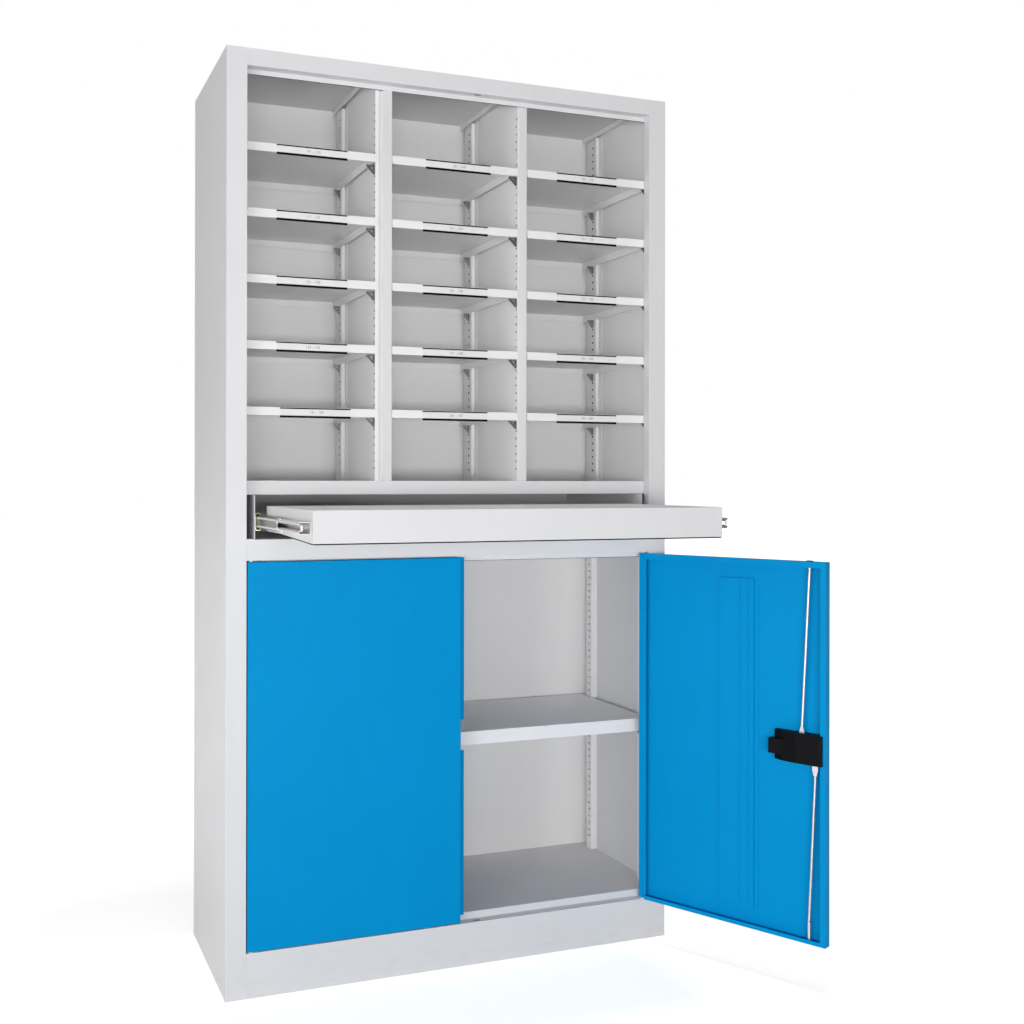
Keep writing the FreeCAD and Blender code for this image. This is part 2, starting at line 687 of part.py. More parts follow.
def hang_left(shape):
    """Place a left-hand part, drawn as a right-hand one, on the left pivot."""
    placed = shape.copy()
    placed.translate(FreeCAD.Vector(PIVOT_X, PIVOT_Y, 0))
    return flipped(placed)


def hang_right(shape):
    """Swing a part of the right door open about the pivot and put it in place."""
    placed = shape.copy()
    placed.rotate(FreeCAD.Vector(0, 0, 0), FreeCAD.Vector(0, 0, 1), OPEN_ANGLE)
    placed.translate(FreeCAD.Vector(PIVOT_X, PIVOT_Y, 0))
    return placed


# pull-out worktop ---------------------------------------------------------------

def channel(x0, x1, y0, y1, level, height, sheet):
    """Sideways channel with its web at x0 and its legs running to x1."""
    way = 1.0 if x1 > x0 else -1.0
    low = level - height / 2.0
    high = level + height / 2.0
    return joined([
        block(x0, x0 + way * sheet, y0, y1, low, high),
        block(x0, x1, y0, y1, low, low + sheet),
        block(x0, x1, y0, y1, high - sheet, high),
    ])


def slide_bracket():
    """Upright plate on the left of the opening, footed on the deck."""
    x = -MOUTH + BRACKET_INSET
    return joined([
        block(x - 1.5, x, FRONT + 3.0, 190.0, MID_DECK_TOP, SORTER_DECK_BOTTOM - 1.0),
        block(-MOUTH + 1.0, x, FRONT + 3.0, 190.0, MID_DECK_TOP, MID_DECK_TOP + SHEET),
    ])


def slide_outer():
    x = -MOUTH + BRACKET_INSET
    y = FRONT + SLIDE_SETBACK
    return channel(x, x + 11.5, y, y + SLIDE_LENGTH, SLIDE_LEVEL, SLIDE_HEIGHT, SLIDE_SHEET)


def slide_middle():
    x = -MOUTH + BRACKET_INSET + SLIDE_SHEET + 0.4
    y = FRONT + SLIDE_SETBACK - TRAVEL / 2.0
    height = SLIDE_HEIGHT - 2 * SLIDE_SHEET - 6.0
    return channel(x, x + 10.0, y, y + SLIDE_LENGTH, SLIDE_LEVEL, height, SLIDE_SHEET)


def slide_inner():
    x = -MOUTH + BRACKET_INSET + 2 * SLIDE_SHEET + 1.6
    y = FRONT + INNER_SETBACK - TRAVEL
    height = SLIDE_HEIGHT - 4 * SLIDE_SHEET - 12.0
    return channel(x, -WORKTOP_WIDTH / 2.0, y, y + INNER_LENGTH, SLIDE_LEVEL, height, SLIDE_SHEET)


def side_sheet(points, x0, x1):
    """Outline in the YZ plane, extruded from x0 to x1."""
    ring = [FreeCAD.Vector(x0, py, pz) for py, pz in points]
    face = Part.Face(Part.makePolygon(ring + ring[:1]))
    return face.extrude(FreeCAD.Vector(x1 - x0, 0, 0))


def worktop_tray():
    """Top, front, sides and rear folded from one sheet, with stiffening lips below.

    The sides are as deep as the front only beside it and rise to a shallower edge.
    """
    a = WORKTOP_WIDTH / 2.0
    y0 = FRONT - TRAVEL
    y1 = y0 + WORKTOP_DEPTH
    z0 = WORKTOP_BOTTOM
    z1 = WORKTOP_TOP
    z2 = WORKTOP_SIDE_BOTTOM
    knee = y0 + 12.0
    shallow = knee + WORKTOP_TAPER
    side = [(y0, z0), (knee, z0), (shallow, z2), (y1, z2), (y1, z1), (y0, z1)]
    lip = [(y0, z0), (knee, z0), (shallow, z2), (y1, z2), (y1, z2 + SHEET), (shallow, z2 + SHEET),
           (knee, z0 + SHEET), (y0, z0 + SHEET)]
    return joined([
        block(-a, a, y0, y1, z1 - SHEET, z1),
        block(-a, a, y0, y0 + SHEET, z0, z1),
        block(-a, a, y1 - SHEET, y1, z2, z1),
        block(-a, a, y0, y0 + 12.0, z0, z0 + SHEET),
        side_sheet(side, -a, -a + SHEET),
        side_sheet(side, a - SHEET, a),
        side_sheet(lip, -a, -a + 15.0),
        side_sheet(lip, a - 15.0, a),
    ])


# build ---------------------------------------------------------------------------

os.makedirs("parts", exist_ok=True)

left_side = side_panel()
save("left_side_panel", left_side)
save("right_side_panel", flipped(left_side))
save("top_panel", top_panel())
save("back_panel", back_panel())
save("bay_back_panel", bay_back_panel())
save("front_plinth", plinth())
save("cabinet_floor", cabinet_floor())
save("door_header_rail", door_header_rail())
save("mid_deck", mid_deck())
save("sorter_deck", sorter_deck())
save("top_inner_rail", top_inner_rail())

left_hole_y = WALL_EDGE + DEEP_HOLE_SETBACK
all_levels = hole_levels(SORTER_DECK_TOP + 12.0, INNER_RAIL_BOTTOM - 8.0)
save("left_divider_post", divider_post(LEFT_POST_X, True))
right_post = divider_post(RIGHT_POST_X, False)
right_post_side = RIGHT_POST_X - DIVIDER_POST / 2.0
post_hole_y = WALL_EDGE + HOLE_SETBACKS["middle"]
save("right_divider_post", perforated(right_post, right_post_side, post_hole_y, all_levels))

uprights = []
rails = []
holders = []
cards = []
clips = []
flanges = {"left": (WALL_FLANGE, -WALL_FLANGE), "middle": (0.0, 0.0), "right": (0.0, WALL_FLANGE)}
for bay, (x0, x1, f0, f1) in bays().items():
    right_hole_y = WALL_EDGE + HOLE_SETBACKS[bay]
    left_flange, right_flange = flanges[bay]
    levels = seat_levels() if bay == "left" else all_levels
    save(bay + "_bay_left_wall", bay_wall(x0, -1.0, left_flange, levels, left_hole_y))
    levels = seat_levels() if bay == "right" else all_levels
    save(bay + "_bay_right_wall", bay_wall(x1, 1.0, right_flange, levels, right_hole_y))
    uprights += [rear_upright(x0, 1.0), rear_upright(x1, -1.0)]
    rails += [ceiling_rail(x0, 1.0), ceiling_rail(x1, -1.0)]
    for row in range(SHELF_ROWS):
        level = TOP_SHELF_LEVEL - row * SHELF_PITCH
        save("%s_shelf_%d" % (bay, row + 1), shelf(x0, x1, f0, f1, level))
        middle = (f0 + f1) / 2.0 + HOLDER_SHIFT[bay] + HOLDER_NUDGE.get((bay, row + 1), 0.0)
        holders.append(label_holder(middle, level))
        cards.append(label_card(middle, level))
        seat = level - SHELF_FLANGE
        for wall, inward, hole_y in ((x0, 1.0, left_hole_y), (x1, -1.0, right_hole_y)):
            clips.append(shelf_clip(wall, inward, hole_y, seat))
            face = wall + inward * UPRIGHT_STANDOFF
            clips.append(shelf_clip(face, inward, 103.0, seat, CLIP_REACH - 4.0))
save("rear_uprights", group(uprights))
save("ceiling_rails", group(rails))
save("label_holders", group(holders))
save("label_cards", group(cards))

inside = HALF - SHEET
cupboard_uprights = []
for x, inward in ((-inside, 1.0), (inside, -1.0)):
    cupboard_uprights.append(lower_upright(x, inward, -130.0, -104.0))
    cupboard_uprights.append(lower_upright(x, inward, 136.0, 162.0))
    for y in (-117.0, 149.0):
        seat = LOWER_SHELF_TOP - LOWER_SHELF_FLANGE
        clips.append(shelf_clip(x + inward * CUPBOARD_STANDOFF, inward, y, seat))
save("cupboard_uprights", group(cupboard_uprights))
save("lower_shelf", lower_shelf())
save("shelf_clips", group(clips))

bushes = []
for x in (-PIVOT_X, PIVOT_X):
    top_bush = door_bush(HEADER_BOTTOM - 1.5, HEADER_BOTTOM + 5.0, HEADER_BOTTOM - 1.5)
    low_bush = door_bush(PLINTH_TOP - 5.0, PLINTH_TOP + 1.0, PLINTH_TOP)
    for bush in (top_bush, low_bush):
        bush.translate(FreeCAD.Vector(x, PIVOT_Y, 0))
        bushes.append(bush)
save("door_bushes", group(bushes))

save("left_door_panel", hang_left(door_pan(LEFT_FREE_EDGE, False)))
save("left_door_stiffener", hang_left(door_stiffener()))
save("left_door_pins", hang_left(door_pins()))
save("left_door_edge_strip", hang_left(edge_strip()))

save("right_door_panel", hang_right(door_pan(RIGHT_FREE_EDGE, True)))
save("right_door_stiffener", hang_right(door_stiffener()))
save("right_door_pins", hang_right(door_pins()))
save("lock_housing", hang_right(lock_housing()))
save("lock_rosette", hang_right(lock_rosette()))
save("lock_knob", hang_right(lock_knob()))
save("lock_cam", hang_right(lock_cam()))
save("upper_lock_rod", hang_right(lock_rod(1.0)))
save("lower_lock_rod", hang_right(lock_rod(-1.0)))

for name, maker in (("slide_brackets", slide_bracket), ("slide_outer_members", slide_outer),
                    ("slide_middle_members", slide_middle), ("slide_inner_members", slide_inner)):
    member = maker()
    save(name, group([member, flipped(member)]))
save("worktop_tray", worktop_tray())
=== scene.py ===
import json
import math

import bmesh
import bpy
from mathutils import Matrix, Vector


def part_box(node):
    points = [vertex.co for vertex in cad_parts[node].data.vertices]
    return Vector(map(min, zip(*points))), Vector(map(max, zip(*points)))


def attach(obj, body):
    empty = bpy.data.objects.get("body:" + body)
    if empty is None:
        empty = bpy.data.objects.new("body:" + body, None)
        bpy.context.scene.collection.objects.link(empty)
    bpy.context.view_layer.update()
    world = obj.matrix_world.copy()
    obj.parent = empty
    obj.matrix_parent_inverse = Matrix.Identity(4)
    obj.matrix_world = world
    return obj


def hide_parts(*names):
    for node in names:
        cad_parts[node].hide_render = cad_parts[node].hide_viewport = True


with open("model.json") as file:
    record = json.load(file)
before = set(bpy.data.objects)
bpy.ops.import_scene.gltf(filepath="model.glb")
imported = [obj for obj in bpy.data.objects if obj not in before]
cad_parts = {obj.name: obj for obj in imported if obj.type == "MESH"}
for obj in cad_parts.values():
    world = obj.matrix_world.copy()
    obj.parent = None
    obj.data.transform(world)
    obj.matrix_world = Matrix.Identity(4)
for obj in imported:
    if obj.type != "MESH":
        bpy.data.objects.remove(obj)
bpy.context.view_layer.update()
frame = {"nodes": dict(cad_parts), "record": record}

# Looks of the pigeonhole mail sorter. Metres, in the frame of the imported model:
# origin on the floor at the middle of the footprint, +Z up, the front faces -Y.

MM = 0.001
NODES = frame["nodes"]
RECORD = frame["record"]
BODY_OF = {node: body for body, nodes in RECORD["behaviour"]["bodies"].items() for node in nodes}


# shader node helpers ------------------------------------------------------------

def new_group(name, inputs, outputs):
    """Empty shader node group with named sockets; returns its tree and end nodes."""
    tree = bpy.data.node_groups.new(name, "ShaderNodeTree")
    for label, kind, value in inputs:
        socket = tree.interface.new_socket(label, in_out="INPUT", socket_type=kind)
        socket.default_value = value
    for label, kind in outputs:
        tree.interface.new_socket(label, in_out="OUTPUT", socket_type=kind)
    return tree, tree.nodes.new("NodeGroupInput"), tree.nodes.new("NodeGroupOutput")


def noise(tree, coordinates, scale, detail=2.0, stretch=(1.0, 1.0, 1.0)):
    """Noise value on the given coordinates, stretched along the axes."""
    mapping = tree.nodes.new("ShaderNodeMapping")
    mapping.inputs["Scale"].default_value = stretch
    tree.links.new(coordinates, mapping.inputs["Vector"])
    texture = tree.nodes.new("ShaderNodeTexNoise")
    texture.inputs["Scale"].default_value = scale
    texture.inputs["Detail"].default_value = detail
    tree.links.new(mapping.outputs["Vector"], texture.inputs["Vector"])
    return texture.outputs["Fac"]


def spread(tree, value, low, high, out_low, out_high):
    """Map a value from one range to another, held at the ends."""
    node = tree.nodes.new("ShaderNodeMapRange")
    for label, number in (("From Min", low), ("From Max", high),
                          ("To Min", out_low), ("To Max", out_high)):
        target = node.inputs[label]
        if isinstance(number, bpy.types.NodeSocket):
            tree.links.new(number, target)
        else:
            target.default_value = number
    tree.links.new(value, node.inputs["Value"])
    return node.outputs["Result"]


def calculate(tree, operation, first, second):
    node = tree.nodes.new("ShaderNodeMath")
    node.operation = operation
    for number, target in ((first, node.inputs[0]), (second, node.inputs[1])):
        if isinstance(number, bpy.types.NodeSocket):
            tree.links.new(number, target)
        else:
            target.default_value = number
    return node.outputs["Value"]


def tinted(tree, colour, shade):
    """A colour times a grey value."""
    node = tree.nodes.new("ShaderNodeVectorMath")
    node.operation = "SCALE"
    tree.links.new(colour, node.inputs[0])
    tree.links.new(shade, node.inputs["Scale"])
    return node.outputs["Vector"]


def object_coordinates(tree):
    return tree.nodes.new("ShaderNodeTexCoord").outputs["Object"]


# surface effects shared by several finishes --------------------------------------

def powder_coat_group():
    """Sprayed and baked powder: broad clouds of thickness and a fine orange peel."""
    tree, ends, out = new_group(
        "powder_coat",
        [("Colour", "NodeSocketColor", (0.8, 0.8, 0.8, 1.0)),
         ("Clouding", "NodeSocketFloat", 0.02),
         ("Roughness", "NodeSocketFloat", 0.45),
         ("Peel Scale", "NodeSocketFloat", 700.0)],
        [("Colour", "NodeSocketColor"), ("Roughness", "NodeSocketFloat"),
         ("Height", "NodeSocketFloat")])
    place = object_coordinates(tree)
    clouds = noise(tree, place, 4.3, 3.0)
    streaks = noise(tree, place, 31.0, 2.0, (1.0, 1.0, 0.35))
    mixed = calculate(tree, "ADD", calculate(tree, "MULTIPLY", clouds, 0.7),
                      calculate(tree, "MULTIPLY", streaks, 0.3))
    low = calculate(tree, "SUBTRACT", 1.0, ends.outputs["Clouding"])
    high = calculate(tree, "ADD", 1.0, ends.outputs["Clouding"])
    shade = spread(tree, mixed, 0.32, 0.68, low, high)
    tree.links.new(tinted(tree, ends.outputs["Colour"], shade), out.inputs["Colour"])
    rough_low = calculate(tree, "MULTIPLY", ends.outputs["Roughness"], 0.88)
    rough_high = calculate(tree, "MULTIPLY", ends.outputs["Roughness"], 1.12)
    tree.links.new(spread(tree, streaks, 0.35, 0.65, rough_low, rough_high),
                   out.inputs["Roughness"])
    peel = tree.nodes.new("ShaderNodeTexNoise")
    peel.inputs["Detail"].default_value = 1.0
    tree.links.new(place, peel.inputs["Vector"])
    tree.links.new(ends.outputs["Peel Scale"], peel.inputs["Scale"])
    tree.links.new(peel.outputs["Fac"], out.inputs["Height"])
    return tree


def scuffs_group():
    """Faint grey rubbing low on the plinth, where feet and brooms touch it."""
    tree, ends, out = new_group(
        "floor_scuffs",
        [("Colour", "NodeSocketColor", (0.8, 0.8, 0.8, 1.0)),
         ("Amount", "NodeSocketFloat", 0.1),
         ("Reach", "NodeSocketFloat", 0.12)],
        [("Colour", "NodeSocketColor")])
    place = object_coordinates(tree)
    split = tree.nodes.new("ShaderNodeSeparateXYZ")
    tree.links.new(place, split.inputs["Vector"])
    near_floor = spread(tree, split.outputs["Z"], ends.outputs["Reach"], 0.0, 0.0, 1.0)
    marks = spread(tree, noise(tree, place, 24.0, 5.0, (1.0, 1.0, 3.0)), 0.5, 0.72, 0.0, 1.0)
    worn = calculate(tree, "MULTIPLY", calculate(tree, "MULTIPLY", near_floor, marks),
                     ends.outputs["Amount"])
    shade = calculate(tree, "SUBTRACT", 1.0, worn)
    tree.links.new(tinted(tree, ends.outputs["Colour"], shade), out.inputs["Colour"])
    return tree


def plating_group():
    """Zinc plating: drawn streaks along one way with faint cloudy spangles."""
    tree, ends, out = new_group(
        "zinc_plating",
        [("Colour", "NodeSocketColor", (0.7, 0.7, 0.7, 1.0)),
         ("Contrast", "NodeSocketFloat", 0.12),
         ("Roughness", "NodeSocketFloat", 0.3),
         ("Grain", "NodeSocketVector", (400.0, 12.0, 400.0))],
        [("Colour", "NodeSocketColor"), ("Roughness", "NodeSocketFloat"),
         ("Height", "NodeSocketFloat")])
    place = object_coordinates(tree)
    drawn = tree.nodes.new("ShaderNodeVectorMath")
    drawn.operation = "MULTIPLY"
    tree.links.new(place, drawn.inputs[0])
    tree.links.new(ends.outputs["Grain"], drawn.inputs[1])
    streaks = tree.nodes.new("ShaderNodeTexNoise")
    streaks.inputs["Scale"].default_value = 1.0
    streaks.inputs["Detail"].default_value = 3.0
    tree.links.new(drawn.outputs["Vector"], streaks.inputs["Vector"])
    spangle = tree.nodes.new("ShaderNodeTexVoronoi")
    spangle.inputs["Scale"].default_value = 140.0
    tree.links.new(place, spangle.inputs["Vector"])
    spots = calculate(tree, "MULTIPLY", spangle.outputs["Distance"], 0.6)
    mixed = calculate(tree, "ADD", calculate(tree, "MULTIPLY", streaks.outputs["Fac"], 0.7),
                      calculate(tree, "MULTIPLY", spots, 0.5))
    low = calculate(tree, "SUBTRACT", 1.0, ends.outputs["Contrast"])
    high = calculate(tree, "ADD", 1.0, ends.outputs["Contrast"])
    tree.links.new(tinted(tree, ends.outputs["Colour"], spread(tree, mixed, 0.3, 0.7, low, high)),
                   out.inputs["Colour"])
    rough_low = calculate(tree, "MULTIPLY", ends.outputs["Roughness"], 0.75)
    rough_high = calculate(tree, "MULTIPLY", ends.outputs["Roughness"], 1.3)
    tree.links.new(spread(tree, mixed, 0.3, 0.7, rough_low, rough_high), out.inputs["Roughness"])
    tree.links.new(streaks.outputs["Fac"], out.inputs["Height"])
    return tree


def moulded_grain_group():
    """Fine spark-eroded grain of moulded plastic, a little polished where it is handled."""
    tree, ends, out = new_group(
        "moulded_grain",
        [("Colour", "NodeSocketColor", (0.03, 0.03, 0.03, 1.0)),
         ("Roughness", "NodeSocketFloat", 0.5),
         ("Grain Scale", "NodeSocketFloat", 1400.0),
         ("Patchiness", "NodeSocketFloat", 0.18)],
        [("Colour", "NodeSocketColor"), ("Roughness", "NodeSocketFloat"),
         ("Height", "NodeSocketFloat")])
    place = object_coordinates(tree)
    patches = noise(tree, place, 60.0, 3.0)
    low = calculate(tree, "SUBTRACT", 1.0, ends.outputs["Patchiness"])
    high = calculate(tree, "ADD", 1.0, ends.outputs["Patchiness"])
    tree.links.new(tinted(tree, ends.outputs["Colour"], spread(tree, patches, 0.3, 0.7, low, high)),
                   out.inputs["Colour"])
    rough_low = calculate(tree, "MULTIPLY", ends.outputs["Roughness"], 0.8)
    rough_high = calculate(tree, "MULTIPLY", ends.outputs["Roughness"], 1.2)
    tree.links.new(spread(tree, patches, 0.35, 0.65, rough_low, rough_high),
                   out.inputs["Roughness"])
    grain = tree.nodes.new("ShaderNodeTexVoronoi")
    tree.links.new(place, grain.inputs["Vector"])
    tree.links.new(ends.outputs["Grain Scale"], grain.inputs["Scale"])
    tree.links.new(grain.outputs["Distance"], out.inputs["Height"])
    return tree


POWDER = powder_coat_group()
SCUFFS = scuffs_group()
PLATING = plating_group()
MOULDED = moulded_grain_group()


# finishes ------------------------------------------------------------------------

def new_material(name):
    material = bpy.data.materials.new(name)
    material.use_nodes = True
    shader = material.node_tree.nodes["Principled BSDF"]
    return material, material.node_tree, shader


def place_group(tree, group, values):
    node = tree.nodes.new("ShaderNodeGroup")
    node.node_tree = group
    for label, value in values.items():
        node.inputs[label].default_value = value
    return node


def surface(tree, shader, group_node, depth, strength=1.0):
    """Lead a group's colour, roughness and height into the material's shader."""
    tree.links.new(group_node.outputs["Colour"], shader.inputs["Base Color"])
    tree.links.new(group_node.outputs["Roughness"], shader.inputs["Roughness"])
    bump = tree.nodes.new("ShaderNodeBump")
    bump.inputs["Distance"].default_value = depth
    bump.inputs["Strength"].default_value = strength
    tree.links.new(group_node.outputs["Height"], bump.inputs["Height"])
    tree.links.new(bump.outputs["Normal"], shader.inputs["Normal"])


def painted(name, colour, roughness=0.45, clouding=0.015, peel=0.00004, scuffed=0.0, specular=0.35):
    material, tree, shader = new_material(name)
    coat = place_group(tree, POWDER, {"Colour": (*colour, 1.0), "Clouding": clouding,
                                      "Roughness": roughness})
    surface(tree, shader, coat, peel, 0.5)
    shader.inputs["Specular IOR Level"].default_value = specular
    if scuffed:
        marks = place_group(tree, SCUFFS, {"Amount": scuffed})
        tree.links.new(coat.outputs["Colour"], marks.inputs["Colour"])
        tree.links.new(marks.outputs["Colour"], shader.inputs["Base Color"])
    return material


def plated(name, colour, grain, roughness=0.3, contrast=0.12, metallic=1.0):
    material, tree, shader = new_material(name)
    zinc = place_group(tree, PLATING, {"Colour": (*colour, 1.0), "Contrast": contrast,
                                       "Roughness": roughness, "Grain": grain})
    surface(tree, shader, zinc, 0.00003, 0.4)
    shader.inputs["Metallic"].default_value = metallic
    return material


def moulded(name, colour, roughness=0.5, grain=1400.0, patchy=0.18, specular=0.5):
    material, tree, shader = new_material(name)
    plastic = place_group(tree, MOULDED, {"Colour": (*colour, 1.0), "Roughness": roughness,
                                          "Grain Scale": grain, "Patchiness": patchy})
    surface(tree, shader, plastic, 0.00005, 0.5)
    shader.inputs["Specular IOR Level"].default_value = specular
    return material


# grain of the plating, per metre along X, Y and Z
ALONG_SLIDE = (700.0, 14.0, 700.0)
ALONG_ROD = (500.0, 500.0, 12.0)
ALONG_CLIP = (300.0, 300.0, 60.0)
EVEN_GRAIN = (90.0, 90.0, 90.0)

CABINET_GREY = painted("cabinet_grey", (0.765, 0.765, 0.78), scuffed=0.05)
# The inside walls, uprights, rails and back panel have the same grey paint as the outside, drawn
# lighter here: a painted brightening that stands in for light inside the deep bays.
INNER_GREY_LIGHTENED = painted("inner_grey_lightened", (0.92, 0.91, 0.91), roughness=0.5)
SHELF_GREY = painted("shelf_grey", (0.90, 0.895, 0.895), roughness=0.42)
DOOR_BLUE = painted("door_blue", (0.0, 0.30, 0.66), roughness=0.45, clouding=0.03, specular=0.05)
ZINC = plated("zinc_clips", (0.27, 0.27, 0.28), ALONG_CLIP, 0.38)
SLIDE_ZINC = plated("slide_zinc", (0.76, 0.73, 0.73), ALONG_SLIDE, 0.45, 0.08, 0.35)
DULL_ZINC = plated("dull_zinc", (0.33, 0.34, 0.31), ALONG_SLIDE, 0.35)
YELLOW_ZINC = plated("yellow_zinc", (0.60, 0.57, 0.38), ALONG_SLIDE, 0.3)
ROD_ZINC = plated("rod_zinc", (0.60, 0.57, 0.59), ALONG_ROD, 0.42)
BALL_STEEL = plated("ball_steel", (0.85, 0.85, 0.86), EVEN_GRAIN, 0.12, 0.05)
BLACK_PLASTIC = moulded("black_plastic", (0.004, 0.004, 0.005), 0.5, specular=0.08)
# Black for marks that stand for shade: painted shadow lines under two hems and under the worktop,
# and painted shade behind the slots.
SHADE_BLACK = moulded("painted_shade_black", (0.006, 0.006, 0.008), 0.6, specular=0.1)
BUSH_PLASTIC = moulded("bush_plastic", (0.72, 0.72, 0.69), 0.5)
CARD = moulded("card_stock", (0.86, 0.86, 0.85), 0.8, 900.0, patchy=0.03)
INK = moulded("grey_ink", (0.30, 0.30, 0.32), 0.7, 900.0)


# carried-over nodes ----------------------------------------------------------------

DOOR_SHEETS = ("left_door_panel", "left_door_stiffener", "left_door_edge_strip",
               "right_door_panel", "right_door_stiffener")


def finish_of(name):
    """Material for a node, by what the part is made of."""
    if name in DOOR_SHEETS:
        return DOOR_BLUE
    if name == "door_bushes":
        return BUSH_PLASTIC
    if name in ("label_holders", "lock_housing", "lock_rosette", "lock_knob"):
        return BLACK_PLASTIC
    if name == "label_cards":
        return CARD
    if name == "slide_outer_members":
        return YELLOW_ZINC
    if "members" in name:
        return SLIDE_ZINC
    if "lock_rod" in name:
        return ROD_ZINC
    if "pins" in name or name in ("shelf_clips", "lock_cam"):
        return ZINC
    if "shelf" in name:
        return SHELF_GREY
    if "wall" in name or "upright" in name or "rails" in name or "back_panel" in name:
        return INNER_GREY_LIGHTENED
    return CABINET_GREY


for name, node in NODES.items():
    if not node.data.materials:
        node.data.materials.append(finish_of(name))
    for index in range(len(node.data.materials)):
        node.data.materials[index] = finish_of(name)


# modelling helpers, in millimetres --------------------------------------------------

def soften(bm, edges, radius, segments=2):
    """Round edges over, by a radius in millimetres."""
    bmesh.ops.bevel(bm, geom=list(edges), offset=radius * MM, offset_type="OFFSET", affect="EDGES",
                    segments=segments, profile=0.5, material=-1, clamp_overlap=True)


def bar(bm, low, high, radius=0.0, segments=2):
    """Box between two corners with softened edges."""
    low = Vector(low) * MM
    high = Vector(high) * MM
    shape = Matrix.Translation((low + high) / 2.0) @ Matrix.Diagonal((*(high - low), 1.0))
    made = bmesh.ops.create_cube(bm, size=1.0, matrix=shape)
    edges = {edge for vert in made["verts"] for edge in vert.link_edges}
    if radius:
        soften(bm, edges, radius, segments)


def turned(bm, base, axis, profile, steps=32):
    """Revolve a profile of (height, radius) points about an axis from base; closed at both ends."""
    base = Vector(base) * MM
    axis = Vector(axis).normalized()
    side = axis.orthogonal().normalized()
    ring = [bm.verts.new(base + axis * height * MM + side * radius * MM)
            for height, radius in profile]
    edges = [bm.edges.new(pair) for pair in zip(ring, ring[1:])]
    bmesh.ops.spin(bm, geom=ring + edges, cent=base, axis=axis, angle=math.tau, steps=steps,
                   use_merge=True, use_duplicate=False)
    bmesh.ops.remove_doubles(bm, verts=bm.verts, dist=0.000005)


def pin(bm, base, axis, radius, length, rim=0.3, steps=24):
    """Round pin or disc with softened rims."""
    turned(bm, base, axis, [(0.0, 0.0), (0.0, radius - rim), (rim, radius), (length - rim, radius),
                            (length, radius - rim), (length, 0.0)], steps)


def drawn_out(bm, outline, start, end, place):
    """Flat outline, put in place at the first depth and drawn out to the second."""
    near = [bm.verts.new(place(u, v, start)) for u, v in outline]
    face = bm.faces.new(near)
    made = bmesh.ops.extrude_face_region(bm, geom=[face])
    far = [part for part in made["geom"] if isinstance(part, bmesh.types.BMVert)]
    shift = place(0.0, 0.0, end) - place(0.0, 0.0, start)
    bmesh.ops.translate(bm, verts=far, vec=shift)


def along_y(u, v, depth):
    """Outline in the XZ plane, drawn out along Y."""
    return Vector((u, depth, v)) * MM


def along_z(u, v, depth):
    """Outline in the XY plane, drawn out along Z."""
    return Vector((u, v, depth)) * MM


def along_x(u, v, depth):
    """Outline in the YZ plane, drawn out along X."""
    return Vector((depth, u, v)) * MM


def rolled(bm, line, y0, y1, thickness):
    """Thin strip: an open line in the XZ plane, drawn out along Y and given a wall."""
    verts = [bm.verts.new(along_y(x, z, y0)) for x, z in line]
    edges = [bm.edges.new(pair) for pair in zip(verts, verts[1:])]
    made = bmesh.ops.extrude_edge_only(bm, edges=edges)
    far = [part for part in made["geom"] if isinstance(part, bmesh.types.BMVert)]
    faces = [part for part in made["geom"] if isinstance(part, bmesh.types.BMFace)]
    bmesh.ops.translate(bm, verts=far, vec=(0.0, (y1 - y0) * MM, 0.0))
    bmesh.ops.solidify(bm, geom=faces, thickness=thickness * MM)


def mirrored(bm):
    """Add the same again on the other side of the cabinet's middle plane."""
    geom = bm.verts[:] + bm.edges[:] + bm.faces[:]
    copy = bmesh.ops.duplicate(bm, geom=geom)["geom"]
    verts = [part for part in copy if isinstance(part, bmesh.types.BMVert)]
    faces = [part for part in copy if isinstance(part, bmesh.types.BMFace)]
    bmesh.ops.scale(bm, vec=(-1.0, 1.0, 1.0), verts=verts)
    bmesh.ops.reverse_faces(bm, faces=faces)


def piece(name, bm, body, material, replaced=(), smooth=None):
    """Finish a mesh as one piece that rides on a body."""
    bmesh.ops.recalc_face_normals(bm, faces=bm.faces)
    mesh = bpy.data.meshes.new(name)
    bm.to_mesh(mesh)
    bm.free()
    mesh.materials.append(material)
    if smooth:
        mesh.shade_smooth()
        mesh.set_sharp_from_angle(angle=math.radians(smooth))
    made = bpy.data.objects.new(name, mesh)
    bpy.context.scene.collection.objects.link(made)
    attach(made, body)
    if replaced:
        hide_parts(*replaced)
    return made


# the right door's pieces are drawn closed, pivot at the origin, then swung open ------

PIVOT = Vector((459.5, -194.0, 0.0))
DOOR_ANGLE = math.radians(116.8)        # how far it stands open at rest
SWING = Matrix.Translation(PIVOT * MM) @ Matrix.Rotation(DOOR_ANGLE, 4, "Z")


def door_piece(name, bm, body, material, replaced=(), smooth=None):
    """Finish a mesh drawn on the closed right door, swung to where the door stands."""
    bmesh.ops.transform(bm, matrix=SWING, verts=bm.verts)
    return piece(name, bm, body, material, replaced, smooth)


# folded sheet --------------------------------------------------------------------------

BEND_RADIUS = 1.5
WIDE = 0.003            # metres; a narrower face is a sheet's own edge
LONG = 0.006
SQUARE = 0.2            # largest cosine between two faces that count as square
FOLDED_SHEETS = (
    "left_side_panel", "right_side_panel", "top_panel", "front_plinth", "door_header_rail",
    "sorter_deck", "top_inner_rail", "left_divider_post", "right_divider_post", "lower_shelf",
    "worktop_tray", "left_door_panel", "right_door_panel", "cabinet_floor")


def is_bend(edge):
    """An outside corner between two wide faces of folded sheet."""
    if len(edge.link_faces) != 2 or not edge.is_convex:
        return False
    first, second = edge.link_faces
    if abs(first.normal.dot(second.normal)) > SQUARE:
        return False
    length = edge.calc_length()
    narrow = min(first.calc_area(), second.calc_area()) / length
    return narrow > WIDE and length > LONG


